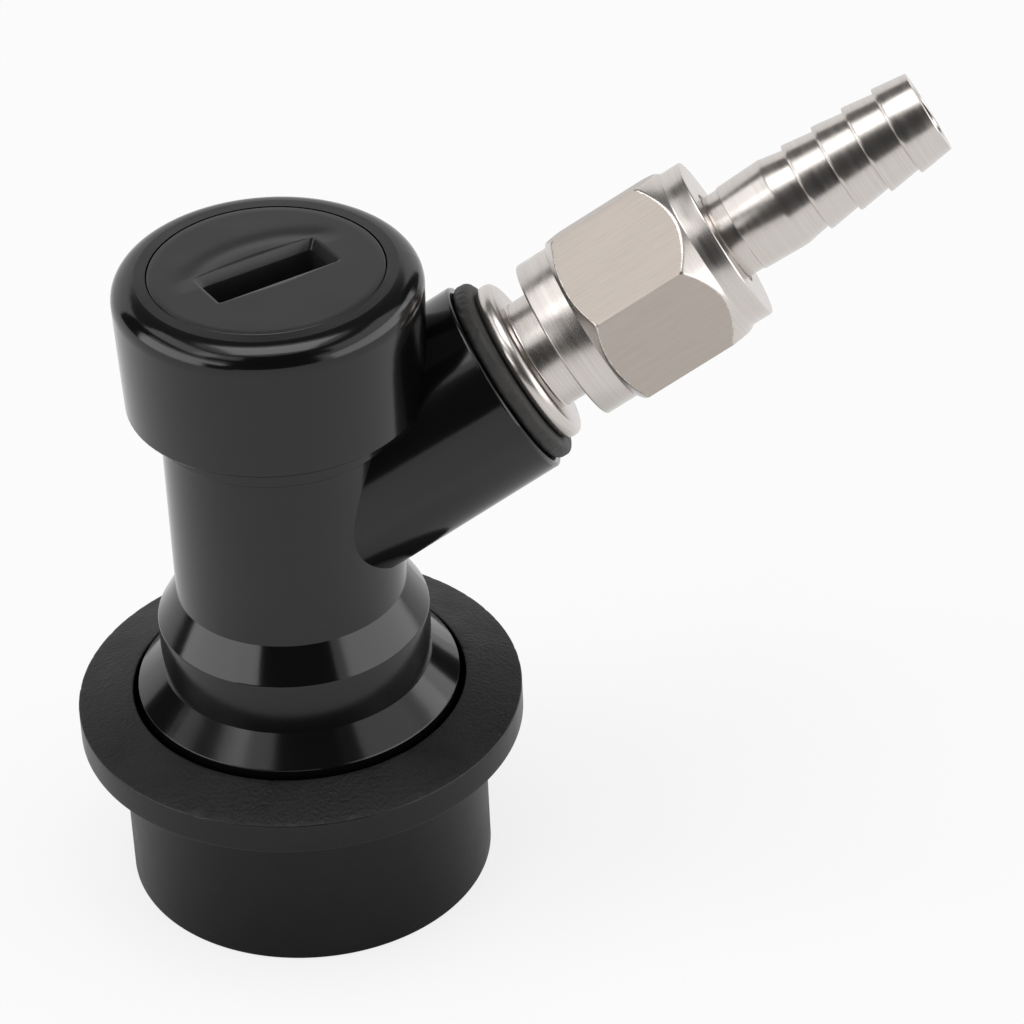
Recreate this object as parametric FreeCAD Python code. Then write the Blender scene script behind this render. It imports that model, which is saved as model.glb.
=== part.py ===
import FreeCAD, Part
import math
import os

# Ball lock disconnect for a keg post: a black moulded body with a side arm, a spring-loaded
# locking collar, and a stainless flare fitting that carries a swivel nut and a hose barb.
# Millimetres, +Z up, origin at the centre of the socket's mouth, side arm towards +X.

V = FreeCAD.Vector
UP = V(0, 0, 1)

# Fits
run_gap = 0.08          # radial gap of pieces that slide or turn in each other
guide_gap = 0.10        # radial gap of the collar's land on the skirt
seal_gap = 0.02         # rest gap of a rubber ring or sealing cone
screw_gap = 0.08        # radial gap of a plain male thread in its plain female thread
seat_gap = 0.05         # end gap of a piece against its stop
past = 1.0              # how far a cutting shape runs past a face

# Skirt and post socket
post_bore_r = 9.0
mouth_step = 0.4         # the socket's mouth is wider by this much, as a lead-in for the post
mouth_len = 2.9
skirt_wall = 2.95
seal_bore_r = 7.8
seal_bore_base_z = 13.2
seal_bore_lead = 1.2
seal_bore_len = 7.3

# Body outline
shoulder_r = 13.75
shoulder_base_z = 16.2
shoulder_rim = 2.7
cone_top_r = 11.5
cone_rise = 2.2
bell_wall_h = 4.75
bell_rise = 2.95
column_r = 9.75
drum_base_z = 47.5
drum_base_r = 12.4
drum_top_r = 12.8
drum_h = 11.9
drum_round = 2.0
drum_base_round = 0.25
step_ring_h = 2.4
step_ring_out = 0.55
step_ring_round = 0.12
shoulder_round = 0.15
bell_round = 0.35

# Valve passage
port_r = 3.4
port_len = 2.5
chamber_r = 6.6
seat_slope_deg = 45.0

# Side arm
arm_root_z = 35.5
arm_tilt_deg = 29.0
arm_r = 8.65
arm_len = 21.8
arm_bore_r = 3.2
arm_end_round = 0.3
arm_socket_depth = 8.6

# Locking balls and their windows
ball_count = 4
ball_d = 3.97
ball_reach = 1.0        # how far a locked ball stands into the post bore
ball_z = 5.5
ball_first_deg = 45.0
window_lip = 0.20       # how much the window narrows towards the post
window_lip_len = 1.6

# Locking collar
collar_r = 15.6
collar_flange_r = 19.0
flange_base_z = 14.4
flange_rim = 2.8
flange_dish = 1.2
collar_hole_gap = 0.45
ledge_z = 9.0
collar_lift = 4.0
ball_travel = 1.1
relief_step = 1.15
collar_edge = 0.25
flange_edge = 0.2
collar_hole_edge = 0.1

# Collar spring
collar_wire_d = 0.9
collar_half_turns = 5

# Retaining ring
ring_z = 1.2
ring_h = 0.9
ring_groove_depth = 0.55
ring_open_deg = 34.0
ring_out = 1.05

# Poppet
poppet_flange_r = 5.3
poppet_flange_h = 1.8
poppet_pin_r = 2.0
poppet_pin_reach = 2.9
poppet_lip_r = 3.0
poppet_stem_r = 2.0
poppet_lift = 3.5
poppet_spigot_r = 4.1
poppet_spigot_h = 2.0
seal_mean_r = 3.6
seal_section_d = 1.78
pin_edge = 0.3
pin_taper_from = 1.2    # above the port's lower end
pin_taper_to = 2.0
spigot_edge = 0.4

# Poppet spring
valve_wire_d = 0.7
valve_coil_r = 4.75
valve_half_turns = 12

# Cap plug
plug_r = 9.70
plug_head_h = 2.9
plug_thread_r = 8.2
plug_thread_len = 5.9
plug_gap = 0.08
plug_boss_r = 3.5
plug_boss_len = 4.6
guide_depth = 8.4
slot_len = 11.1
slot_w = 4.5
slot_depth = 3.5
slot_lead = 0.4           # the slot's mouth slopes in by this much on each side
slot_lead_depth = 0.9
slot_turn_deg = 21.0
plug_edge = 0.15
boss_edge = 0.3
plug_thread_edge = 0.4
cap_section_d = 1.5

# Flare fitting
spigot_r = 5.55
fitting_gasket_h = 1.5
fitting_gasket_r = 8.3
fitting_gasket_round = 0.6
fitting_flange_r = 7.25
fitting_flange_h = 1.6
fitting_flange_round = 0.7
neck_r = 4.83
neck_len = 3.7
neck_fillet = 0.2
flare_thread_r = 5.55
flare_thread_len = 8.4
flare_thread_edge = 0.5
flare_cone_r = 4.9
flare_nose_r = 3.2
fitting_bore_r = 2.7

# Flare washer
washer_t = 0.9
washer_out_r = 4.7
washer_in_r = 3.3

# Hose barb
tail_r = 5.2
tail_rim = 1.86
stem_r = 4.07
waist_r = 3.75
waist_cone_from = 0.4   # the stem tapers to the waist inside the nut's end
waist_cone_to = 0.1
barb_bore_r = 2.4
waist_len = 1.45
swell_foot_r = 3.87
swell_r = 4.0
swell_len = 4.0
swell_taper = 2.3
barb_root_r = 3.6
barb_crest_r = 3.97
barb_pitch = 2.87
barb_count = 4
barb_tip_len = 3.05
barb_land = 0.25

# Swivel nut
nut_gap = 2.5           # from the fitting's flange to the nut's open face
nut_len = 15.95
nut_rim_r = 7.15
nut_neck_r = 7.25
nut_rim_len = 2.9
nut_neck_len = 1.85
nut_flats = 15.0
nut_chamfer_open = 1.2
nut_chamfer_end = 1.9
nut_edge = 0.18
nut_mouth_flare = 1.3
nut_mouth_lead = 0.3

# Places worked out from the sizes above
skirt_r = post_bore_r + skirt_wall
land_r = skirt_r + guide_gap
ball_r = ball_d / 2
ball_path_r = post_bore_r - ball_reach + ball_r
window_r = ball_r + run_gap
cam_slope = ball_travel / collar_lift
cam_tilt = math.atan(cam_slope)
cam_top_z = ball_z + (ball_path_r + ball_r / math.cos(cam_tilt) + seat_gap - land_r) / cam_slope
relief_r = land_r + relief_step
cam_base_z = cam_top_z - relief_step / cam_slope
shoulder_top_z = shoulder_base_z + shoulder_rim
cone_top_z = shoulder_top_z + cone_rise
bell_wall_top_z = cone_top_z + bell_wall_h
column_base_z = bell_wall_top_z + bell_rise
drum_top_z = drum_base_z + drum_h
seal_bore_top_z = seal_bore_base_z + seal_bore_len
port_top_z = seal_bore_top_z + port_len
seat_slope = math.tan(math.radians(seat_slope_deg))
seat_top_z = port_top_z + (chamber_r - port_r) / seat_slope
plug_head_z = drum_top_z - plug_head_h
plug_foot_z = plug_head_z - plug_thread_len
cap_ledge_z = plug_head_z - cap_section_d - seal_gap
cap_hole_r = plug_r + plug_gap
thread_base_z = plug_foot_z - seat_gap
socket_s = arm_len - arm_socket_depth
fitting_flange_s = arm_len + fitting_gasket_h
neck_s = fitting_flange_s + fitting_flange_h
thread_s = neck_s + neck_len
flare_s = thread_s + flare_thread_len + flare_thread_edge
nose_s = flare_s + flare_cone_r - flare_nose_r
nut_s = neck_s + nut_gap
nut_end_s = nut_s + nut_len
nut_bore_r = flare_thread_r + screw_gap
washer_shift = seal_gap
tail_shift = washer_shift + washer_t + seal_gap


# Helpers
def outline(corners):
    """Closed wire in the XZ plane from (radius, height, rounding) corners."""
    edges = []
    spans = []
    count = len(corners)
    for i in range(count):
        here = V(corners[i][0], 0, corners[i][1])
        before = corners[i - 1]
        after = corners[(i + 1) % count]
        rounding = corners[i][2] if len(corners[i]) > 2 else 0
        if rounding <= 0:
            spans.append((here, None, here))
            continue
        back = (V(before[0], 0, before[1]) - here).normalize()
        ahead = (V(after[0], 0, after[1]) - here).normalize()
        half = math.acos(max(-1.0, min(1.0, back.dot(ahead)))) / 2
        cut = rounding / math.tan(half)
        middle = (back + ahead).normalize()
        centre = here + middle * (rounding / math.sin(half))
        spans.append((here + back * cut, centre - middle * rounding, here + ahead * cut))
    for i in range(count):
        start, bend, end = spans[i]
        if bend is not None:
            edges.append(Part.Arc(start, bend, end).toShape())
        target = spans[(i + 1) % count][0]
        if end.distanceToPoint(target) > 1e-7:
            edges.append(Part.LineSegment(end, target).toShape())
    return Part.Wire(edges)


def turned(corners):
    """Solid turned about Z from a half section."""
    return Part.Face(outline(corners)).revolve(V(0, 0, 0), UP, 360)


def rod(radius, z0, z1):
    return Part.makeCylinder(radius, z1 - z0, V(0, 0, z0), UP)


def on_arm(shape):
    """Moves a shape built along Z onto the side arm's axis."""
    placed = shape.copy()
    placed.rotate(V(0, 0, 0), V(0, 1, 0), 90 - arm_tilt_deg)
    placed.translate(V(0, 0, arm_root_z))
    return placed


def coil(mean_r, wire_d, half_turns, z0, z1):
    """Round wire spring from z0 to z1, as half turns that tilt to one side and then the other."""
    step = (z1 - z0 - wire_d) / half_turns
    tilt = math.atan2(step / 2, mean_r)
    bends = []
    for i in range(half_turns):
        side = 1 - 2 * (i % 2)
        start = V(side * mean_r, 0, z0 + wire_d / 2 + i * step)
        centre = V(0, 0, start.z + step / 2)
        section = Part.Face(Part.Wire(Part.makeCircle(wire_d / 2, start, V(0, 1, 0))))
        bends.append(section.revolve(centre, V(side * math.sin(tilt), 0, math.cos(tilt)), 180))
    return bends[0].fuse(bends[1:])


def around(shape, angle):
    placed = shape.copy()
    placed.rotate(V(0, 0, 0), UP, angle)
    return placed


def save(name, shape):
    shape.exportStep("parts/" + name + ".step")


# Body
def body_outside():
    groove_r = skirt_r - ring_groove_depth
    groove_base = ring_z - seat_gap
    groove_top = ring_z + ring_h + seat_gap
    step_r = column_r + step_ring_out
    return turned([
        (0, 0),
        (skirt_r, 0),
        (skirt_r, groove_base),
        (groove_r, groove_base),
        (groove_r, groove_top),
        (skirt_r, groove_top),
        (skirt_r, shoulder_base_z),
        (shoulder_r, shoulder_base_z),
        (shoulder_r, shoulder_top_z, shoulder_round),
        (cone_top_r, cone_top_z),
        (cone_top_r, bell_wall_top_z, bell_round),
        (column_r, column_base_z),
        (column_r, drum_base_z - step_ring_h),
        (step_r, drum_base_z - step_ring_h, step_ring_round),
        (step_r, drum_base_z),
        (drum_base_r, drum_base_z, drum_base_round),
        (drum_top_r, drum_top_z, drum_round),
        (0, drum_top_z),
    ])


def body_passage():
    return turned([
        (0, -past),
        (post_bore_r + mouth_step, -past),
        (post_bore_r + mouth_step, mouth_len),
        (post_bore_r, mouth_len + mouth_step),
        (post_bore_r, seal_bore_base_z - seal_bore_lead),
        (seal_bore_r, seal_bore_base_z),
        (seal_bore_r, seal_bore_top_z),
        (port_r, seal_bore_top_z),
        (port_r, port_top_z),
        (chamber_r, seat_top_z),
        (chamber_r, thread_base_z),
        (plug_thread_r + screw_gap, thread_base_z),
        (plug_thread_r + screw_gap, cap_ledge_z),
        (cap_hole_r, cap_ledge_z),
        (cap_hole_r, drum_top_z + past),
        (0, drum_top_z + past),
    ])


def ball_window():
    """Radial hole that a ball slides in, with a lip on the post's side."""
    outward = V(1, 0, 0)
    reach = skirt_r - ball_path_r + past
    straight = Part.makeCylinder(window_r, reach, V(ball_path_r, 0, ball_z), outward)
    foot = V(ball_path_r - window_lip_len, 0, ball_z)
    lip = Part.makeCone(window_r - window_lip, window_r, window_lip_len, foot, outward)
    return straight.fuse(lip)


def body():
    arm = turned([(0, 0), (arm_r, 0), (arm_r, arm_len, arm_end_round), (0, arm_len)])
    shape = body_outside().fuse(on_arm(arm))
    shape = shape.cut(body_passage())
    channel = rod(arm_bore_r, 0, arm_len)
    socket = rod(spigot_r + seat_gap, socket_s, arm_len + past)
    shape = shape.cut(on_arm(channel.fuse(socket)))
    for i in range(ball_count):
        shape = shape.cut(around(ball_window(), ball_first_deg + 360 * i / ball_count))
    return shape.removeSplitter()


# Locking collar, its spring, ring and balls
def locking_collar():
    rim_top = flange_base_z + flange_rim
    hole_r = shoulder_r + collar_hole_gap
    return turned([
        (relief_r, 0),
        (collar_r, 0, collar_edge),
        (collar_r, flange_base_z, collar_edge),
        (collar_flange_r, flange_base_z, flange_edge),
        (collar_flange_r, rim_top, flange_edge),
        (hole_r, rim_top + flange_dish, collar_hole_edge),
        (hole_r, ledge_z),
        (land_r, ledge_z),
        (land_r, cam_top_z),
        (relief_r, cam_base_z),
    ])


def collar_spring():
    mean_r = (skirt_r + shoulder_r + collar_hole_gap) / 2
    return coil(mean_r, collar_wire_d, collar_half_turns, ledge_z + seat_gap, shoulder_base_z - seat_gap)


def retaining_ring():
    outer_r = skirt_r + ring_out
    inner_r = skirt_r - ring_groove_depth + seat_gap
    ring = rod(outer_r, ring_z, ring_z + ring_h).cut(rod(inner_r, ring_z, ring_z + ring_h))
    reach = outer_r + past
    half = math.radians(ring_open_deg / 2)
    tip = V(0, 0, ring_z)
    side = reach * math.tan(half)
    wedge = Part.Face(Part.makePolygon([tip, V(-reach, -side, ring_z), V(-reach, side, ring_z), tip]))
    return ring.cut(wedge.extrude(V(0, 0, ring_h)))


def locking_ball(angle):
    ball = Part.makeSphere(ball_r, V(ball_path_r, 0, ball_z))
    return around(ball, angle)


# Valve
def seal_height():
    """Height at which the poppet's rubber ring just clears the seat cone."""
    tilt = math.radians(seat_slope_deg)
    gap = seal_section_d / 2 + seal_gap
    return port_top_z + (seal_mean_r - port_r) / seat_slope + gap / math.sin(tilt)


def poppet_stem():
    half = seal_section_d / 2 + seal_gap
    groove_r = seal_mean_r - half
    lip_top = seal_height() - half
    flange_z = seal_height() + half
    flange_top = flange_z + poppet_flange_h
    pin_z = seal_bore_top_z - poppet_pin_reach
    guide_top = plug_foot_z - plug_boss_len + guide_depth
    stem_top = guide_top - poppet_lift - seat_gap
    return turned([
        (0, pin_z),
        (poppet_pin_r, pin_z, pin_edge),
        (poppet_pin_r, seal_bore_top_z + pin_taper_from),
        (poppet_lip_r, seal_bore_top_z + pin_taper_to),
        (poppet_lip_r, lip_top),
        (groove_r, lip_top),
        (groove_r, flange_z),
        (poppet_flange_r, flange_z),
        (poppet_flange_r, flange_top),
        (poppet_spigot_r, flange_top),
        (poppet_spigot_r, flange_top + poppet_spigot_h, spigot_edge),
        (poppet_stem_r, flange_top + poppet_spigot_h),
        (poppet_stem_r, stem_top, pin_edge),
        (0, stem_top),
    ])


def poppet_seal():
    return Part.makeTorus(seal_mean_r, seal_section_d / 2, V(0, 0, seal_height()), UP)


def poppet_spring():
    base = seal_height() + seal_section_d / 2 + seal_gap + poppet_flange_h
    return coil(valve_coil_r, valve_wire_d, valve_half_turns, base + seat_gap, plug_foot_z - seat_gap)


# Cap
def rectangle(length, width, z):
    x = length / 2
    y = width / 2
    return Part.makePolygon([V(-x, -y, z), V(x, -y, z), V(x, y, z), V(-x, y, z), V(-x, -y, z)])


def driver_slot():
    """Slot for a coin or a broad blade, with a mouth that slopes in."""
    floor_len = slot_len - 2 * slot_lead
    floor_w = slot_w - 2 * slot_lead
    lead_z = drum_top_z - slot_lead_depth
    foot = rectangle(floor_len, floor_w, lead_z)
    mouth = Part.makeLoft([foot, rectangle(slot_len, slot_w, drum_top_z)], True)
    corner = V(-floor_len / 2, -floor_w / 2, drum_top_z - slot_depth)
    pocket = Part.makeBox(floor_len, floor_w, slot_depth - slot_lead_depth, corner)
    return around(mouth.fuse(pocket), slot_turn_deg)


def cap_plug():
    boss_z = plug_foot_z - plug_boss_len
    plug = turned([
        (0, boss_z),
        (plug_boss_r, boss_z, boss_edge),
        (plug_boss_r, plug_foot_z),
        (plug_thread_r, plug_foot_z, plug_thread_edge),
        (plug_thread_r, plug_head_z),
        (plug_r, plug_head_z),
        (plug_r, drum_top_z, plug_edge),
        (0, drum_top_z),
    ])
    guide = rod(poppet_stem_r + run_gap, boss_z - past, boss_z + guide_depth)
    return plug.cut(guide).cut(driver_slot())


def cap_gasket():
    mean_r = (plug_thread_r + cap_hole_r) / 2
    middle_z = plug_head_z - (cap_section_d + seal_gap) / 2
    return Part.makeTorus(mean_r, cap_section_d / 2, V(0, 0, middle_z), UP)


# Pieces on the side arm
def flare_fitting():
    rim = fitting_flange_round
    return on_arm(turned([
        (fitting_bore_r, socket_s + seat_gap),
        (spigot_r, socket_s + seat_gap),
        (spigot_r, fitting_flange_s),
        (fitting_flange_r, fitting_flange_s, rim),
        (fitting_flange_r, neck_s, rim),
        (neck_r, neck_s, neck_fillet),
        (neck_r, thread_s),
        (flare_thread_r, thread_s + flare_thread_r - neck_r),
        (flare_thread_r, thread_s + flare_thread_len),
        (flare_cone_r, flare_s),
        (flare_nose_r, nose_s),
        (fitting_bore_r, nose_s),
    ]))


def fitting_gasket():
    rim = fitting_gasket_round
    return on_arm(turned([
        (spigot_r + seat_gap, arm_len),
        (fitting_gasket_r, arm_len, rim),
        (fitting_gasket_r, fitting_flange_s, rim),
        (spigot_r + seat_gap, fitting_flange_s),
    ]))


def cone_s(radius, shift):
    """Station of the flare's 45 degree cone at a radius, moved outward by shift."""
    return flare_s + flare_cone_r - radius + shift


def flare_washer():
    return on_arm(turned([
        (washer_in_r, cone_s(washer_in_r, washer_shift)),
        (washer_out_r, cone_s(washer_out_r, washer_shift)),
        (washer_out_r, cone_s(washer_out_r, washer_shift + washer_t)),
        (washer_in_r, cone_s(washer_in_r, washer_shift + washer_t)),
    ]))


def tail_back_s(radius):
    """Station of the barb tail's 45 degree back at a radius."""
    return cone_s(tail_r, tail_shift) + tail_rim + tail_r - radius


def hose_barb():
    swell_s = nut_end_s + waist_len
    first_s = swell_s + swell_len + swell_taper
    outside = [
        (barb_bore_r, cone_s(barb_bore_r, tail_shift)),
        (tail_r, cone_s(tail_r, tail_shift)),
        (tail_r, tail_back_s(tail_r)),
        (stem_r, tail_back_s(stem_r)),
        (stem_r, nut_end_s - waist_cone_from),
        (waist_r, nut_end_s - waist_cone_to),
        (waist_r, swell_s),
        (swell_foot_r, swell_s),
        (swell_r, swell_s + swell_len),
        (barb_root_r, first_s),
    ]
    for i in range(barb_count):
        crest_s = first_s + i * barb_pitch
        run = barb_tip_len if i == barb_count - 1 else barb_pitch
        outside.append((barb_crest_r, crest_s))
        outside.append((barb_crest_r, crest_s + barb_land))
        outside.append((barb_root_r, crest_s + run))
    end_s = first_s + (barb_count - 1) * barb_pitch + barb_tip_len
    outside.append((barb_bore_r, end_s))
    return on_arm(turned(outside))


def swivel_nut():
    hex_s = nut_s + nut_rim_len
    hex_end_s = nut_end_s - nut_neck_len
    corner_r = nut_flats / math.sqrt(3)
    points = []
    for i in range(7):
        turn = math.radians(60 * i)
        points.append(V(corner_r * math.cos(turn), corner_r * math.sin(turn), hex_s))
    prism = Part.Face(Part.makePolygon(points)).extrude(V(0, 0, hex_end_s - hex_s))
    blank = turned([
        (0, hex_s),
        (nut_rim_r, hex_s),
        (corner_r, hex_s + nut_chamfer_open),
        (corner_r, hex_end_s - nut_chamfer_end),
        (nut_neck_r, hex_end_s),
        (0, hex_end_s),
    ])
    rim = turned([(0, nut_s), (nut_rim_r, nut_s, nut_edge), (nut_rim_r, hex_s), (0, hex_s)])
    neck_edge = (nut_neck_r, nut_end_s, nut_edge)
    neck = turned([(0, hex_end_s), (nut_neck_r, hex_end_s), neck_edge, (0, nut_end_s)])
    shape = prism.common(blank).fuse([rim, neck])
    inside = turned([
        (0, nut_s - past),
        (nut_bore_r + nut_mouth_flare, nut_s - past),
        (nut_bore_r, nut_s + nut_mouth_lead),
        (nut_bore_r, tail_back_s(nut_bore_r) + seat_gap),
        (stem_r + run_gap, tail_back_s(stem_r + run_gap) + seat_gap),
        (stem_r + run_gap, nut_end_s + past),
        (0, nut_end_s + past),
    ])
    return on_arm(shape.cut(inside).removeSplitter())


def main():
    os.makedirs("parts", exist_ok=True)
    save("body", body())
    save("cap_plug", cap_plug())
    save("cap_gasket", cap_gasket())
    save("poppet_stem", poppet_stem())
    save("poppet_seal", poppet_seal())
    save("poppet_spring", poppet_spring())
    save("locking_collar", locking_collar())
    save("collar_spring", collar_spring())
    save("retaining_ring", retaining_ring())
    for i in range(ball_count):
        save("locking_ball_" + str(i + 1), locking_ball(ball_first_deg + 360 * i / ball_count))
    save("flare_fitting", flare_fitting())
    save("fitting_gasket", fitting_gasket())
    save("flare_washer", flare_washer())
    save("hose_barb", hose_barb())
    save("swivel_nut", swivel_nut())


main()
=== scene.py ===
import math

import bmesh
import bpy
from mathutils import Matrix, Vector, noise


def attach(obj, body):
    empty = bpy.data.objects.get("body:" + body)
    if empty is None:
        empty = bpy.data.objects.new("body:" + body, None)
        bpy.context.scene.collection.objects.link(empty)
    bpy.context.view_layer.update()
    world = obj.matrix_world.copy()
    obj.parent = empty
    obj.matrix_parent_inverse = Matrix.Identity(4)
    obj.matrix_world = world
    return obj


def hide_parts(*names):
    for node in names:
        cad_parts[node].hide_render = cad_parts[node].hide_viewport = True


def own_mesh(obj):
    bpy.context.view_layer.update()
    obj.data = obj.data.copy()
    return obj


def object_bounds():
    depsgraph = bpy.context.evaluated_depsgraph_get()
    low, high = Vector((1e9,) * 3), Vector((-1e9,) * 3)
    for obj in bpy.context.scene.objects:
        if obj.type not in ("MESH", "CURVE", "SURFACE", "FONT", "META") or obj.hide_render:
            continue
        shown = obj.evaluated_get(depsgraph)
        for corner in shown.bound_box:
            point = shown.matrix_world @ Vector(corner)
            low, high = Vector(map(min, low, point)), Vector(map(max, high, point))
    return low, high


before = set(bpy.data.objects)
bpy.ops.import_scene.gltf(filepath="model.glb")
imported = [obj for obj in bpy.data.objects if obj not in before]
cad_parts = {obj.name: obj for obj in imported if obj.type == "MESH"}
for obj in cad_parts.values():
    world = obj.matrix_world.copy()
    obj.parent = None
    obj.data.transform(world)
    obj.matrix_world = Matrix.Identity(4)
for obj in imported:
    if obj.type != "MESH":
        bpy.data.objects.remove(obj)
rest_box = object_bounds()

MM = 0.001
ARM_TILT = math.radians(29.0)
ARM_ROOT_Z = 35.5

# Stations on the side arm, in millimetres from the column's axis
FITTING_S = 13.25
ARM_END = 21.8
FLANGE_S = 23.3
NECK_S = 24.9
NUT_S = 27.4
NUT_THREAD_S = 27.7
THREAD_S = 28.6
THREAD_END_S = 37.0
FLARE_S = 37.5
NOSE_S = 39.2
NUT_THREAD_END_S = 39.62
NUT_END_S = 43.35
BARB_S = 51.1
BARB_END_S = 62.76

# Radii and lengths of the steel pieces, in millimetres
FLARE_PITCH = 1.27
THREAD_STEP = 0.106
FITTING_BORE_R = 2.7
FITTING_R = 5.55
FLANGE_R = 7.25
NECK_R = 4.83
NUT_FLATS = 15.0
NUT_MOUTH_R = 5.93
NUT_THREAD_R = 5.63
NUT_THREAD_DEPTH = 0.45
NUT_RIM_R = 7.15
NUT_END_R = 7.25
NUT_HOLE_R = 4.15
NUT_RIM_LEN = 2.9
NUT_END_LEN = 1.85
FITTING_THREAD_DEPTH = 0.5
BARB_BORE_R = 2.4
BARB_TAIL_R = 5.2
BARB_COLLAR_R = 4.07
BARB_WAIST_R = 3.75
BARB_CREST_R = 3.97
BARB_ROOT_R = 3.6
BARB_PITCH = 2.87
BARB_LAST_LEN = 3.05
BARB_COUNT = 4

# Gasket, collar and cap, in millimetres
GASKET_R = 8.3
GASKET_HOLE_R = 5.6
COLLAR_R = 15.6
COLLAR_FLANGE_R = 19.0
COLLAR_FLANGE_Z = 14.4
COLLAR_RIM_Z = 17.2
COLLAR_TOP_Z = 18.4
COLLAR_HOLE_R = 14.2
COLLAR_RELIEF_R = 13.2
COLLAR_LAND_R = 12.05
COLLAR_LEDGE_Z = 9.0
CAM_BASE_Z = 1.48
CAM_TOP_Z = 5.66
DRUM_TOP_Z = 59.4
CAP_TURN = math.radians(21)
CAP_PITCH = 1.5
CAP_HEAD_R = 9.7
CAP_HEAD_Z = 56.5
CAP_THREAD_R = 8.2
CAP_THREAD_DEPTH = 0.6
CAP_FOOT_Z = 50.6
CAP_BOSS_R = 3.5
CAP_BOSS_Z = 46
GUIDE_R = 2.08
GUIDE_TOP_Z = 54.4
SLOT_HALF_LEN = 5.55
SLOT_HALF_WIDTH = 2.25
SLOT_DEPTH = 3.5
SLOT_LEAD_DEPTH = 0.9
SINK_DEPTH = 0.07


# Mesh helpers
def section(corners, steps=5):
    """Points of a closed half section; a corner with a third value is rounded by that radius."""
    points = []
    count = len(corners)
    for i, corner in enumerate(corners):
        here = Vector(corner[:2])
        radius = corner[2] if len(corner) > 2 else 0
        if radius <= 0:
            points.append((corner[0], corner[1]))
            continue
        back = (Vector(corners[i - 1][:2]) - here).normalized()
        ahead = (Vector(corners[(i + 1) % count][:2]) - here).normalized()
        half = math.acos(max(-1.0, min(1.0, back.dot(ahead)))) / 2
        centre = here + (back + ahead).normalized() * (radius / math.sin(half))
        first = here + back * (radius / math.tan(half)) - centre
        last = here + ahead * (radius / math.tan(half)) - centre
        sweep = first.angle_signed(last)
        for k in range(steps + 1):
            turn = -sweep * k / steps
            spoke = Vector((first.x * math.cos(turn) - first.y * math.sin(turn),
                            first.x * math.sin(turn) + first.y * math.cos(turn)))
            points.append((centre.x + spoke.x, centre.y + spoke.y))
    return points


def refine(points, step, low=None, high=None):
    """The same outline with extra points, no further apart than step between two heights."""
    fine = []
    for i, (r0, z0) in enumerate(points):
        r1, z1 = points[(i + 1) % len(points)]
        fine.append((r0, z0))
        if low is not None and (max(z0, z1) < low or min(z0, z1) > high):
            continue
        parts = int(math.hypot(r1 - r0, z1 - z0) / step)
        for k in range(1, parts):
            fine.append((r0 + (r1 - r0) * k / parts, z0 + (z1 - z0) * k / parts))
    return fine


def lathe(name, points, segments=160, shift=None):
    """Closed mesh turned about its own Z from points in millimetres; shift(turn, r, z) gives a new (r, z)."""
    mesh = bpy.data.meshes.new(name)
    bm = bmesh.new()
    rings = []
    for k in range(segments):
        turn = 2 * math.pi * k / segments
        ring = []
        for r, z in points:
            if shift is not None:
                r, z = shift(turn, r, z)
            ring.append(bm.verts.new((r * math.cos(turn) * MM, r * math.sin(turn) * MM, z * MM)))
        rings.append(ring)
    count = len(points)
    for k in range(segments):
        a = rings[k]
        b = rings[(k + 1) % segments]
        for i in range(count):
            j = (i + 1) % count
            if abs(points[i][0]) < 1e-6 and abs(points[j][0]) < 1e-6:
                continue
            bm.faces.new((a[i], b[i], b[j], a[j]))
    bmesh.ops.remove_doubles(bm, verts=bm.verts, dist=1e-7)
    bmesh.ops.dissolve_degenerate(bm, dist=1e-8, edges=bm.edges)
    bmesh.ops.recalc_face_normals(bm, faces=bm.faces)
    bm.to_mesh(mesh)
    bm.free()
    piece = bpy.data.objects.new(name, mesh)
    bpy.context.scene.collection.objects.link(piece)
    smooth(piece)
    return piece


def smooth(piece, angle=32.0):
    piece.data.shade_smooth()
    piece.data.set_sharp_from_angle(angle=math.radians(angle))


def on_arm(piece):
    piece.matrix_world = (Matrix.Translation((0, 0, ARM_ROOT_Z * MM))
                          @ Matrix.Rotation(math.pi / 2 - ARM_TILT, 4, "Y"))
    return piece


def stands_for(piece, body, node):
    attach(piece, body)
    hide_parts(node)
    return piece


def tube(name, points, radius, sides=14):
    """Closed round wire along points in millimetres."""
    mesh = bpy.data.meshes.new(name)
    bm = bmesh.new()
    rings = []
    count = len(points)
    for i, point in enumerate(points):
        ahead = Vector(points[min(i + 1, count - 1)]) - Vector(points[max(i - 1, 0)])
        ahead.normalize()
        out = Vector((point[0], point[1], 0)).normalized()
        out = (out - ahead * out.dot(ahead)).normalized()
        side = ahead.cross(out)
        ring = []
        for k in range(sides):
            turn = 2 * math.pi * k / sides
            spot = Vector(point) + (out * math.cos(turn) + side * math.sin(turn)) * radius
            ring.append(bm.verts.new(spot * MM))
        rings.append(ring)
    for a, b in zip(rings, rings[1:]):
        for k in range(sides):
            m = (k + 1) % sides
            bm.faces.new((a[k], a[m], b[m], b[k]))
    bm.faces.new(rings[0][::-1])
    bm.faces.new(rings[-1])
    bmesh.ops.recalc_face_normals(bm, faces=bm.faces)
    bm.to_mesh(mesh)
    bm.free()
    piece = bpy.data.objects.new(name, mesh)
    bpy.context.scene.collection.objects.link(piece)
    smooth(piece, 50)
    return piece


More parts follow.
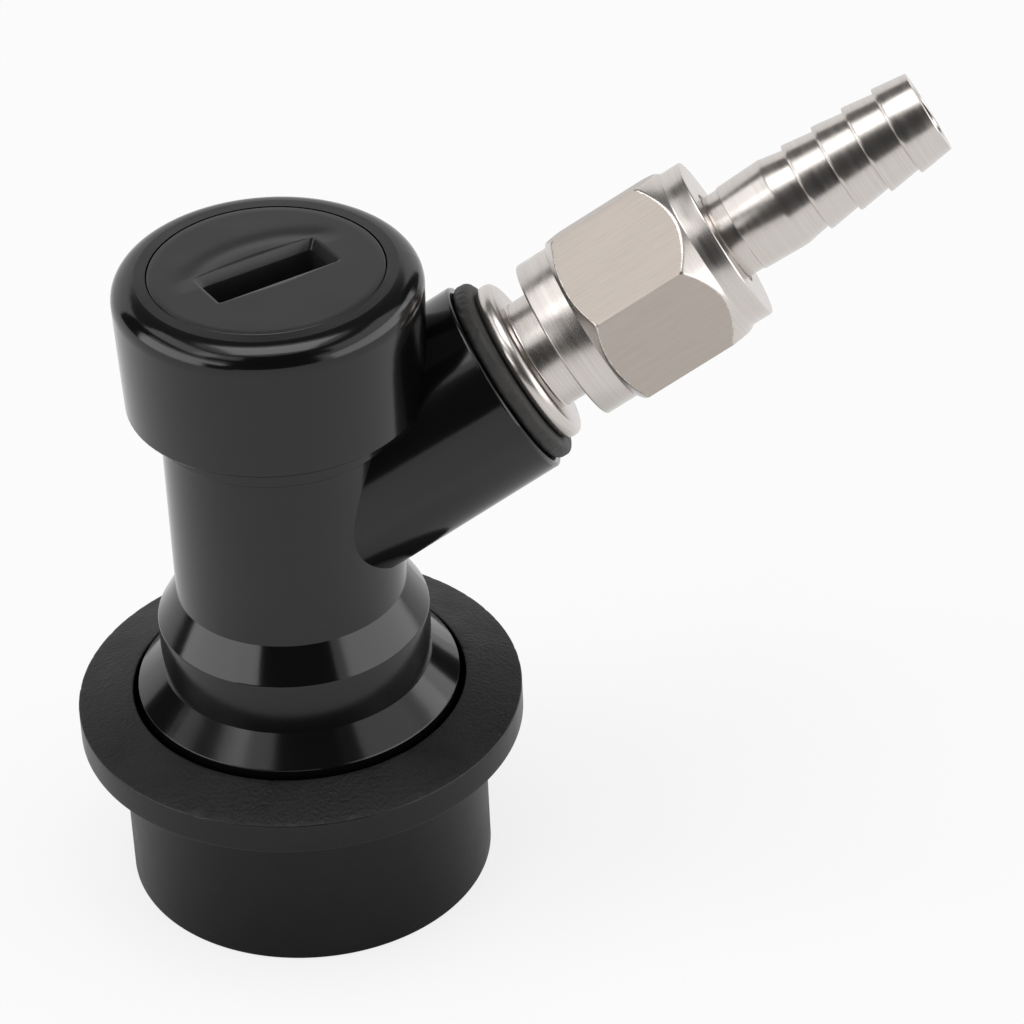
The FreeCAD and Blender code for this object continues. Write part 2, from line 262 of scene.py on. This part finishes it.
# Materials
class Paint:
    """Builds one procedural material node by node."""

    def __init__(self, name, color, rough, metal=0.0, ior=1.5, specular=0.5):
        self.material = bpy.data.materials.new(name)
        self.material.use_nodes = True
        self.tree = self.material.node_tree
        self.shader = self.tree.nodes["Principled BSDF"]
        self.set("Base Color", (*color, 1))
        self.set("Roughness", rough)
        self.set("Metallic", metal)
        self.set("IOR", ior)
        self.set("Specular IOR Level", specular)
        self.height = None

    def set(self, socket, value):
        self.shader.inputs[socket].default_value = value

    def node(self, kind, **values):
        made = self.tree.nodes.new(kind)
        for key, value in values.items():
            if key in made.inputs:
                made.inputs[key].default_value = value
            else:
                setattr(made, key, value)
        return made

    def link(self, a, b):
        self.tree.links.new(a, b)

    def coords(self, scale=(1, 1, 1), turn=(0, 0, 0)):
        """Object coordinates, first turned, then scaled."""
        source = self.node("ShaderNodeTexCoord").outputs["Object"]
        if any(turn):
            spin = self.node("ShaderNodeVectorRotate", rotation_type="EULER_XYZ", Rotation=turn)
            self.link(source, spin.inputs["Vector"])
            source = spin.outputs["Vector"]
        sized = self.node("ShaderNodeMapping")
        sized.inputs["Scale"].default_value = scale
        self.link(source, sized.inputs["Vector"])
        return sized.outputs["Vector"]

    def grain(self, scale, stretch=(1, 1, 1), detail=3.0, rough=0.55, turn=(0, 0, 0)):
        made = self.node("ShaderNodeTexNoise", Scale=scale, Detail=detail, Roughness=rough)
        self.link(self.coords(stretch, turn), made.inputs["Vector"])
        return made.outputs["Fac"]

    def spread(self, value, low, high, start=0.3, end=0.7):
        made = self.node("ShaderNodeMapRange")
        made.inputs["From Min"].default_value = start
        made.inputs["From Max"].default_value = end
        made.inputs["To Min"].default_value = low
        made.inputs["To Max"].default_value = high
        self.link(value, made.inputs["Value"])
        return made.outputs["Result"]

    def rough(self, value, low, high, start=0.3, end=0.7):
        self.link(self.spread(value, low, high, start, end), self.shader.inputs["Roughness"])

    def tint(self, value, dark, light, start=0.3, end=0.7):
        mix = self.node("ShaderNodeMix", data_type="RGBA")
        mix.inputs[6].default_value = (*dark, 1)
        mix.inputs[7].default_value = (*light, 1)
        self.link(self.spread(value, 0, 1, start, end), mix.inputs[0])
        self.link(mix.outputs[2], self.shader.inputs["Base Color"])

    def bump(self, value, distance, strength=1.0):
        made = self.node("ShaderNodeBump", Strength=strength, Distance=distance)
        self.link(value, made.inputs["Height"])
        if self.height is not None:
            self.link(self.height, made.inputs["Normal"])
        self.height = made.outputs["Normal"]
        self.link(self.height, self.shader.inputs["Normal"])


def moulded_black():
    paint = Paint("moulded_black", (0.003, 0.003, 0.0032), 0.12, specular=0.44)
    flow = paint.grain(90, detail=1)
    paint.rough(flow, 0.11, 0.16)
    paint.bump(flow, 0.00005)
    paint.bump(paint.grain(3200, detail=2), 0.0000012)
    return paint.material


def satin_black(name="satin_black", low=0.25, high=0.36, specular=0.44, dark=0.0035, light=0.0065,
                grain=0.0000015):
    paint = Paint(name, (light, light, light * 1.05), 0.3, specular=specular)
    patch = paint.grain(220, detail=3)
    paint.rough(patch, low, high)
    paint.tint(patch, (dark, dark, dark * 1.05), (light, light, light * 1.05))
    if grain > 0:
        paint.bump(paint.grain(5000, detail=1), grain)
    paint.bump(paint.grain(160, detail=1), 0.00003)
    return paint.material


def grained_black():
    paint = Paint("grained_black", (0.005, 0.005, 0.005), 0.45, specular=0.33)
    patch = paint.grain(300, detail=3)
    paint.rough(patch, 0.40, 0.52)
    paint.tint(patch, (0.003, 0.003, 0.003), (0.006, 0.006, 0.006))
    paint.bump(paint.grain(3000, detail=4), 0.00005)
    return paint.material


def black_rubber():
    paint = Paint("black_rubber", (0.018, 0.018, 0.018), 0.6)
    patch = paint.grain(600, detail=4)
    paint.rough(patch, 0.5, 0.72)
    paint.tint(patch, (0.014, 0.014, 0.014), (0.040, 0.037, 0.034))
    paint.bump(paint.grain(4500, detail=4), 0.00003)
    return paint.material


STEEL_DARK = (0.57, 0.53, 0.50)
STEEL = (0.63, 0.59, 0.56)


def turned_steel(name="turned_steel", low=0.22, high=0.30, marks=0.0000012):
    """Rings of the turning tool about the piece's own Z."""
    paint = Paint(name, STEEL, 0.2, metal=1.0)
    rings = paint.grain(1.0, stretch=(60, 60, 7000), detail=3, rough=0.6)
    wide = paint.grain(1.0, stretch=(40, 40, 1600), detail=3)
    paint.rough(wide, low, high)
    paint.tint(rings, STEEL_DARK, STEEL)
    paint.bump(rings, marks)
    return paint.material


def brushed_steel():
    """Fine scratches along the piece's own Z."""
    paint = Paint("brushed_steel", STEEL, 0.3, metal=1.0)
    fine = paint.grain(1.0, stretch=(12000, 12000, 260), detail=3, rough=0.6)
    wide = paint.grain(1.0, stretch=(1500, 1500, 120), detail=2)
    paint.rough(wide, 0.36, 0.44)
    paint.tint(fine, (0.415, 0.37, 0.33), (0.475, 0.425, 0.385))
    paint.bump(fine, 0.0000008)
    return paint.material


def drawn_steel():
    paint = Paint("drawn_steel", (0.55, 0.54, 0.52), 0.25, metal=1.0)
    fine = paint.grain(2500, detail=3)
    paint.rough(fine, 0.2, 0.32)
    paint.bump(fine, 0.000002)
    return paint.material


def ball_steel():
    paint = Paint("ball_steel", (0.7, 0.69, 0.67), 0.08, metal=1.0)
    paint.rough(paint.grain(900, detail=3), 0.05, 0.12)
    return paint.material


def white_nylon():
    paint = Paint("white_nylon", (0.82, 0.81, 0.77), 0.4)
    paint.rough(paint.grain(900, detail=3), 0.35, 0.5)
    return paint.material


def wear(piece, *materials):
    piece.data.materials.clear()
    for material in materials:
        piece.data.materials.append(material)


gloss = moulded_black()
satin = satin_black()
grained = grained_black()
rubber = black_rubber()
turned = turned_steel()
brushed = brushed_steel()
drawn = drawn_steel()
polished = ball_steel()
nylon = white_nylon()

for node, material in {
        "body": gloss, "cap_plug": satin, "cap_gasket": rubber, "poppet_stem": satin,
        "poppet_seal": rubber, "poppet_spring": drawn, "locking_collar": satin,
        "collar_spring": drawn, "retaining_ring": drawn, "flare_fitting": turned,
        "fitting_gasket": rubber, "flare_washer": nylon, "hose_barb": turned,
        "swivel_nut": brushed, "locking_ball_1": polished, "locking_ball_2": polished,
        "locking_ball_3": polished, "locking_ball_4": polished}.items():
    wear(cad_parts[node], material)


# Pieces with finer form than the solids
def thread_wave(turn, z, pitch, start, end, fade=0.5):
    """0 at the crest and 1 at the root of a 60 degree thread, level at both ends."""
    phase = (z / pitch - turn / (2 * math.pi)) % 1.0
    wave = min(1.0, max(0.0, abs(phase - 0.5) * 2.6 - 0.15))
    edge = min(z - start, end - z) / fade
    return wave * min(1.0, max(0.0, edge))


def soft_min(a, b, blend):
    near = max(blend - abs(a - b), 0.0) / blend
    return min(a, b) - near * near * blend / 4


def wobble(turn, r, z, scale, seed=0.0):
    """Smooth noise from -1 to 1 that closes round the piece."""
    return noise.noise(Vector((r * math.cos(turn), r * math.sin(turn), z + seed)) * scale)


def make_nut():
    apothem = NUT_FLATS / 2
    corner = apothem / math.cos(math.pi / 6)
    hex_s, hex_end = NUT_S + NUT_RIM_LEN, NUT_END_S - NUT_END_LEN
    tuck = 0.02

    def outer(turn, z):
        sector = turn % (math.pi / 3)
        flat = soft_min(apothem / math.cos(sector - math.pi / 6),
                        apothem / math.cos(min(sector, math.pi / 3 - sector) + math.pi / 6), 0.08)
        open_cone = NUT_RIM_R + (z - hex_s) * (corner - NUT_RIM_R) / 1.2
        end_cone = NUT_END_R + (hex_end - z) * (corner - NUT_END_R) / 1.9
        return soft_min(soft_min(flat, open_cone, 0.07), end_cone, 0.07)

    # A radius of -1 stands for the hexagon with its two cones
    rows = [(NUT_RIM_R, hex_s - tuck)]
    z = hex_s
    while z < hex_end + 0.001:
        rows.append((-1, z))
        z += 0.1 if z < hex_s + 1.6 or z > hex_end - 2.4 else 0.5
    rows.append((NUT_END_R, hex_end + tuck))
    mouth = [(NUT_MOUTH_R, NUT_S, 0.08), (NUT_RIM_R, NUT_S, 0.18)]
    tail = [(NUT_END_R, NUT_END_S, 0.18), (NUT_HOLE_R, NUT_END_S, 0.1), (NUT_HOLE_R, 41.1),
            (NUT_THREAD_R, NUT_THREAD_END_S)]
    thread = [(NUT_THREAD_R, 39.4 - THREAD_STEP * k) for k in range(110)]
    thread.append((NUT_THREAD_R, NUT_THREAD_S))
    whole = section(mouth + [(NUT_RIM_R, hex_s - tuck), (NUT_END_R, hex_end + tuck)] + tail + thread[-1:])
    start = whole.index((NUT_RIM_R, hex_s - tuck))
    end = whole.index((NUT_THREAD_R, NUT_THREAD_END_S))
    points = whole[:start] + rows + whole[start + 2:end + 1] + thread

    def shape(turn, r, z):
        if r < 0:
            return outer(turn, z), z
        if abs(r - NUT_THREAD_R) < 1e-6 and 27.8 < z < 39.5:
            return r + NUT_THREAD_DEPTH * thread_wave(turn, z, FLARE_PITCH, 27.8, 39.5), z
        return r, z

    nut = on_arm(lathe("swivel_nut_turned", points, 300, shape))
    smooth(nut, 48)
    wear(nut, turned, brushed)
    for face in nut.data.polygons:
        spot = face.center / MM
        reach = math.hypot(spot.x, spot.y)
        upright = math.hypot(face.normal.x, face.normal.y) > 0.995
        face.material_index = 1 if upright and hex_s < spot.z < hex_end and reach > 7.3 else 0
    stands_for(nut, "nut", "swivel_nut")


def make_barb():
    profile = [(BARB_BORE_R, 40.74), (BARB_TAIL_R, 38.14), (BARB_TAIL_R, 40.0, 0.05), (BARB_COLLAR_R, 41.13),
               (BARB_COLLAR_R, 42.95), (BARB_WAIST_R, 43.25), (BARB_WAIST_R, 44.8), (3.87, 44.8, 0.06),
               (4.0, 48.8, 1.0), (BARB_ROOT_R, BARB_S)]
    for i in range(BARB_COUNT):
        last = i == BARB_COUNT - 1
        base = BARB_S + BARB_PITCH * i
        profile += [(BARB_CREST_R, base, 0.05), (BARB_CREST_R, base + 0.25, 0.1),
                    (BARB_ROOT_R, base + (BARB_LAST_LEN if last else BARB_PITCH), 0.08 if last else 0)]
    profile.append((BARB_BORE_R, BARB_END_S, 0.1))
    barb = on_arm(lathe("hose_barb_turned", section(profile, 4), 200))
    wear(barb, fine_turned)
    stands_for(barb, "tail", "hose_barb")


def make_fitting():
    run_in = THREAD_S + 0.72
    profile = [(FITTING_BORE_R, FITTING_S), (FITTING_R, FITTING_S, 0.2), (FITTING_R, FLANGE_S),
               (FLANGE_R, FLANGE_S, 0.7), (FLANGE_R, NECK_S, 0.7), (NECK_R, NECK_S, 0.2), (NECK_R, THREAD_S),
               (FITTING_R, run_in), (FITTING_R, THREAD_END_S), (4.9, FLARE_S), (3.2, NOSE_S, 0.1),
               (FITTING_BORE_R, NOSE_S, 0.1)]
    points = refine(section(profile), THREAD_STEP, THREAD_S + 0.5, THREAD_END_S + 0.02)

    def shape(turn, r, z):
        if r > 5.0 and THREAD_S + 0.6 < z < THREAD_END_S + 0.01:
            r -= FITTING_THREAD_DEPTH * thread_wave(turn, z, FLARE_PITCH, run_in, THREAD_END_S, 0.4)
        return r, z

    fitting = on_arm(lathe("flare_fitting_turned", points, 200, shape))
    smooth(fitting, 40)
    wear(fitting, turned)
    stands_for(fitting, "housing", "flare_fitting")


def make_gasket():
    profile = [(GASKET_HOLE_R, ARM_END), (GASKET_R, ARM_END, 0.55), (GASKET_R, FLANGE_S, 0.55),
               (GASKET_HOLE_R, FLANGE_S)]
    points = refine(section(profile, 7), 0.25)

    def shape(turn, r, z):
        if r < GASKET_HOLE_R + 1.0:
            return r, z
        bite = 0.5 + 0.5 * wobble(turn, r, z, 0.55)
        nick = max(0.0, wobble(turn, r, z, 2.6, 7.0))
        return r - 0.16 * bite - 0.14 * nick, z

    gasket = on_arm(lathe("gasket_pressed", points, 300, shape))
    wear(gasket, rubber)
    stands_for(gasket, "housing", "fitting_gasket")


def make_collar():
    profile = [(COLLAR_RELIEF_R, 0), (COLLAR_R, 0, 0.25), (COLLAR_R, COLLAR_FLANGE_Z, 0.25),
               (COLLAR_FLANGE_R, COLLAR_FLANGE_Z, 0.2), (COLLAR_FLANGE_R, COLLAR_RIM_Z, 0.16),
               (COLLAR_HOLE_R, COLLAR_TOP_Z, 0.16), (COLLAR_HOLE_R, COLLAR_LEDGE_Z),
               (COLLAR_LAND_R, COLLAR_LEDGE_Z), (COLLAR_LAND_R, CAM_TOP_Z), (COLLAR_RELIEF_R, CAM_BASE_Z)]
    points = refine(section(profile, 6), 0.5, 17.0, 18.5)

    def shape(turn, r, z):
        if z > COLLAR_RIM_Z - 0.2 and r > COLLAR_FLANGE_R - 0.3:
            burr = max(0.0, wobble(turn, r, z, 1.9)) ** 2
            return r - 0.05 * burr, z - 0.16 * burr
        if z > COLLAR_TOP_Z - 0.2 and r < COLLAR_HOLE_R + 0.3:
            burr = max(0.0, wobble(turn, r, z, 1.5, 3.0)) ** 2
            return r + 0.05 * burr, z - 0.10 * burr
        return r, z

    collar = lathe("locking_collar_moulded", points, 400, shape)
    smooth(collar, 40)
    # The sides wear the darker satin copy with painted shade, the flange top the grained black
    wear(collar, satin_side_painted_shade, grained)
    for face in collar.data.polygons:
        top = face.center.z > 17.05 * MM and face.normal.z > 0.6
        face.material_index = 1 if top else 0
    stands_for(collar, "collar", "locking_collar")


def make_cap():
    slot_z = DRUM_TOP_Z - SLOT_DEPTH
    lead_z = DRUM_TOP_Z - SLOT_LEAD_DEPTH
    face_r = 9.0
    face_steps = 16

    def slot_r(turn, inset):
        along = abs(math.cos(turn - CAP_TURN)) / (SLOT_HALF_LEN - inset)
        across = abs(math.sin(turn - CAP_TURN)) / (SLOT_HALF_WIDTH - inset)
        return (along ** 40 + across ** 40) ** (-1 / 40)

    # Radii from -1 to 0 stand for the slot's outline, drawn in by 1 + radius,
    # and those from -10 down for steps across the face
    slot = [(0, slot_z), (-0.6, slot_z), (-0.6, lead_z - 0.05), (-0.62, lead_z), (-0.97, DRUM_TOP_Z - 0.05)]
    face = [(-10 - k / face_steps, DRUM_TOP_Z) for k in range(face_steps)]
    rim = section([(face_r, DRUM_TOP_Z), (CAP_HEAD_R, DRUM_TOP_Z, 0.16), (CAP_HEAD_R, CAP_HEAD_Z),
                   (CAP_THREAD_R, CAP_HEAD_Z)])
    stem = [(CAP_THREAD_R, CAP_HEAD_Z - 0.1 - CAP_PITCH / 12 * k) for k in range(43)]
    foot = section([(CAP_THREAD_R, 50.9), (CAP_THREAD_R, CAP_FOOT_Z, 0.4), (CAP_BOSS_R, CAP_FOOT_Z),
                    (CAP_BOSS_R, CAP_BOSS_Z, 0.3), (GUIDE_R, CAP_BOSS_Z), (GUIDE_R, GUIDE_TOP_Z),
                    (0, GUIDE_TOP_Z)])

    def shape(turn, r, z):
        if r <= -10:
            start = slot_r(turn, -0.05)
            r = start + (face_r - start) * (-r - 10)
            x = r * math.cos(turn - CAP_TURN)
            y = r * math.sin(turn - CAP_TURN)
            ring = math.hypot(x / 6.6, (y - 0.4) / 4.0)
            sink = math.exp(-((ring - 1.0) / 0.17) ** 2) * min(1.0, max(0.0, (y - 0.6) / 2.0))
            return r, z - SINK_DEPTH * sink
        if r < 0:
            return slot_r(turn, 1 + r), z
        if abs(r - CAP_THREAD_R) < 1e-6 and 50.95 < z < 56.45:
            return r - CAP_THREAD_DEPTH * thread_wave(turn, z, CAP_PITCH, 51.05, 56.4), z
        return r, z

    cap = lathe("cap_plug_moulded", slot + face + rim + stem + foot[1:], 360, shape)
    smooth(cap, 34)
    # The cap wears the lighter satin copy, painted light
    wear(cap, satin_cap_painted_light)
    stands_for(cap, "cap", "cap_plug")


def make_spring(name, node, radius, wire, turns, z0, z1):
    points = []
    steps = int(turns * 40)
    for k in range(steps + 1):
        turn = 2 * math.pi * turns * k / steps
        z = z0 + wire / 2 + (z1 - z0 - wire) * k / steps
        points.append((radius * math.cos(turn), radius * math.sin(turn), z))
    coil = tube(name, points, wire / 2)
    wear(coil, drawn)
    stands_for(coil, "housing", node)
    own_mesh(coil)


fine_turned = turned_steel("fine_turned_steel", 0.20, 0.27, 0.000001)
# A darker, less shiny copy of the satin black for the collar's sides: painted shade
satin_side_painted_shade = satin_black("satin_side_painted_shade", 0.22, 0.30, 0.34, 0.002, 0.0035)
# A lighter copy of the satin black for the cap's upward face: painted light
satin_cap_painted_light = satin_black("satin_cap_painted_light", 0.27, 0.33, 0.44, 0.013, 0.017, 0)
make_nut()
make_barb()
make_fitting()
make_gasket()
make_collar()
make_cap()
make_spring("collar_spring_wire", "collar_spring", 13.075, 0.9, 2.5, 9.05, 16.15)
make_spring("poppet_spring_wire", "poppet_spring", 4.75, 0.7, 6.0, 27.247, 50.55)


# Camera at the photograph's place
CAMERA_SPOT = Vector((-0.03285, -0.31847, 0.25847))
CAMERA_AZIMUTH = math.radians(-9.26)
CAMERA_PITCH = math.radians(35.032)
CAMERA_ROLL = math.radians(-2.781)
CAMERA_LENS = 164.26


def make_camera():
    data = bpy.data.cameras.new("camera")
    data.lens = CAMERA_LENS
    data.sensor_width = 36.0
    data.clip_start = 0.01
    data.clip_end = 20
    camera = bpy.data.objects.new("camera", data)
    bpy.context.scene.collection.objects.link(camera)
    az, el = CAMERA_AZIMUTH, CAMERA_PITCH
    back = Vector((math.sin(az) * math.cos(el), -math.cos(az) * math.cos(el), math.sin(el)))
    right = Vector((math.cos(az), math.sin(az), 0))
    up = back.cross(right)
    x = right * math.cos(CAMERA_ROLL) + up * math.sin(CAMERA_ROLL)
    y = up * math.cos(CAMERA_ROLL) - right * math.sin(CAMERA_ROLL)
    turn = Matrix((x, y, back)).transposed().to_4x4()
    camera.matrix_world = Matrix.Translation(CAMERA_SPOT) @ turn
    bpy.context.scene.camera = camera


make_camera()


# Floor, backdrop and light
WORLD_LIGHT = 0.45
FLOOR_RADIUS = 2.5
FLOOR_COLOR = (0.95, 0.95, 0.95, 1)
FLOOR_GLOW_SHARE = 0.8
# Painted shadow round the foot, seen only in reflections: across this reach in metres the floor's glow rises
# from the first strength to the second
PAINTED_SHADOW_REACH = (0.016, 0.055)
PAINTED_SHADOW_GLOW = (0.3, 1.0)


def shown_to_eye(tree):
    """1 for rays that show the background: camera, glossy and transmission rays."""
    path = tree.nodes.new("ShaderNodeLightPath")
    total = None
    for ray in ("Is Camera Ray", "Is Glossy Ray", "Is Transmission Ray"):
        if total is None:
            total = path.outputs[ray]
            continue
        top = tree.nodes.new("ShaderNodeMath")
        top.operation = "MAXIMUM"
        tree.links.new(total, top.inputs[0])
        tree.links.new(path.outputs[ray], top.inputs[1])
        total = top.outputs[0]
    return total


def make_world():
    world = bpy.data.worlds.new("studio")
    bpy.context.scene.world = world
    world.use_nodes = True
    tree = world.node_tree
    tree.nodes.clear()
    out = tree.nodes.new("ShaderNodeOutputWorld")
    lit = tree.nodes.new("ShaderNodeBackground")
    lit.inputs["Strength"].default_value = WORLD_LIGHT
    seen = tree.nodes.new("ShaderNodeBackground")
    seen.inputs["Color"].default_value = (1, 1, 1, 1)
    seen.inputs["Strength"].default_value = 1.0
    mix = tree.nodes.new("ShaderNodeMixShader")
    tree.links.new(shown_to_eye(tree), mix.inputs[0])
    tree.links.new(lit.outputs[0], mix.inputs[1])
    tree.links.new(seen.outputs[0], mix.inputs[2])
    tree.links.new(mix.outputs[0], out.inputs["Surface"])


def make_floor():
    """White for the eye with the object's shadow; in reflections it is darker near the foot, a painted
    shadow; clear from below.
    """
    mesh = bpy.data.meshes.new("floor")
    bm = bmesh.new()
    bmesh.ops.create_circle(bm, cap_ends=True, radius=FLOOR_RADIUS, segments=96)
    bm.to_mesh(mesh)
    bm.free()
    floor = bpy.data.objects.new("floor", mesh)
    floor.location = (0, 0, rest_box[0][2] - 0.00005)
    bpy.context.scene.collection.objects.link(floor)
    material = bpy.data.materials.new("floor")
    material.use_nodes = True
    tree = material.node_tree
    tree.nodes.clear()
    out = tree.nodes.new("ShaderNodeOutputMaterial")
    base = tree.nodes.new("ShaderNodeBsdfDiffuse")
    base.inputs["Color"].default_value = FLOOR_COLOR
    glow = tree.nodes.new("ShaderNodeEmission")
    place = tree.nodes.new("ShaderNodeTexCoord")
    reach = tree.nodes.new("ShaderNodeVectorMath")
    reach.operation = "LENGTH"
    # Painted shadow: for glossy rays the floor glows less near the foot
    painted_foot_shadow = tree.nodes.new("ShaderNodeMapRange")
    painted_foot_shadow.inputs["From Min"].default_value = PAINTED_SHADOW_REACH[0]
    painted_foot_shadow.inputs["From Max"].default_value = PAINTED_SHADOW_REACH[1]
    painted_foot_shadow.inputs["To Min"].default_value = PAINTED_SHADOW_GLOW[0]
    painted_foot_shadow.inputs["To Max"].default_value = PAINTED_SHADOW_GLOW[1]
    path = tree.nodes.new("ShaderNodeLightPath")
    pick = tree.nodes.new("ShaderNodeMix")
    pick.inputs[2].default_value = 1.0
    tree.links.new(place.outputs["Object"], reach.inputs[0])
    tree.links.new(reach.outputs["Value"], painted_foot_shadow.inputs["Value"])
    tree.links.new(path.outputs["Is Glossy Ray"], pick.inputs[0])
    tree.links.new(painted_foot_shadow.outputs["Result"], pick.inputs[3])
    tree.links.new(pick.outputs[0], glow.inputs["Strength"])
    share = tree.nodes.new("ShaderNodeMath")
    share.operation = "MULTIPLY"
    share.inputs[1].default_value = FLOOR_GLOW_SHARE
    mix = tree.nodes.new("ShaderNodeMixShader")
    tree.links.new(shown_to_eye(tree), share.inputs[0])
    tree.links.new(share.outputs[0], mix.inputs[0])
    tree.links.new(base.outputs[0], mix.inputs[1])
    tree.links.new(glow.outputs[0], mix.inputs[2])
    under = tree.nodes.new("ShaderNodeNewGeometry")
    clear = tree.nodes.new("ShaderNodeBsdfTransparent")
    sides = tree.nodes.new("ShaderNodeMixShader")
    tree.links.new(under.outputs["Backfacing"], sides.inputs[0])
    tree.links.new(mix.outputs[0], sides.inputs[1])
    tree.links.new(clear.outputs[0], sides.inputs[2])
    tree.links.new(sides.outputs[0], out.inputs["Surface"])
    mesh.materials.append(material)


def aim(thing, azimuth, elevation, distance, target=(0.008, 0, 0.035)):
    """Puts a lamp at a bearing from the camera's side and turns it to the object."""
    az = CAMERA_AZIMUTH + math.radians(azimuth)
    el = math.radians(elevation)
    back = Vector((math.sin(az) * math.cos(el), -math.cos(az) * math.cos(el), math.sin(el)))
    thing.location = Vector(target) + back * distance
    thing.rotation_mode = "QUATERNION"
    thing.rotation_quaternion = back.to_track_quat("Z", "Y")


def softbox(name, azimuth, elevation, distance, width, height, radiance):
    data = bpy.data.lights.new(name, "AREA")
    data.shape = "RECTANGLE"
    data.size = width
    data.size_y = height
    data.energy = radiance * math.pi * width * height
    lamp = bpy.data.objects.new(name, data)
    bpy.context.scene.collection.objects.link(lamp)
    aim(lamp, azimuth, elevation, distance)


def card(name, azimuths, elevations, level=0.04, radius=1.6):
    """A piece of dome, dark or bright, that only reflections see."""
    mesh = bpy.data.meshes.new(name)
    bm = bmesh.new()
    rows = []
    across, up = 24, 8
    for j in range(up + 1):
        el = math.radians(elevations[0] + (elevations[1] - elevations[0]) * j / up)
        row = []
        for i in range(across + 1):
            az = CAMERA_AZIMUTH + math.radians(azimuths[0] + (azimuths[1] - azimuths[0]) * i / across)
            row.append(bm.verts.new((radius * math.sin(az) * math.cos(el),
                                     -radius * math.cos(az) * math.cos(el), radius * math.sin(el))))
        rows.append(row)
    for lower, upper in zip(rows, rows[1:]):
        for i in range(across):
            bm.faces.new((lower[i], lower[i + 1], upper[i + 1], upper[i]))
    bm.to_mesh(mesh)
    bm.free()
    sheet = bpy.data.objects.new(name, mesh)
    bpy.context.scene.collection.objects.link(sheet)
    material = bpy.data.materials.new(name)
    material.use_nodes = True
    tree = material.node_tree
    tree.nodes.clear()
    out = tree.nodes.new("ShaderNodeOutputMaterial")
    glow = tree.nodes.new("ShaderNodeEmission")
    glow.inputs["Strength"].default_value = level
    tree.links.new(glow.outputs[0], out.inputs["Surface"])
    mesh.materials.append(material)
    sheet.visible_camera = False
    sheet.visible_diffuse = False
    sheet.visible_shadow = False
    sheet.visible_transmission = False


make_world()
make_floor()
softbox("softbox_left", -66, 14, 0.8, 1.05, 0.40, 2.0)
softbox("softbox_right", 86, 14, 0.8, 1.45, 0.40, 1.9)
softbox("softbox_top", 0, 89.9, 0.8, 0.50, 0.50, 2.6)
softbox("softbox_upper_left", -84, 50, 0.8, 0.75, 0.26, 1.55)
card("dark_front", (-30, 34), (4, 64))
card("dark_ring", (34, 330), (34, 64), 0.12)
card("dark_low_left", (314, 336), (2, 19), 0.04, 0.7)
card("dark_left", (235, 262), (0, 34))
card("dark_right", (118, 145), (0, 34))
card("bright_left", (295, 336), (45, 60), 1.3, 0.9)
card("bright_right", (50, 118), (34, 52), 1.3, 0.9)

bpy.context.scene.view_settings.view_transform = "Standard"
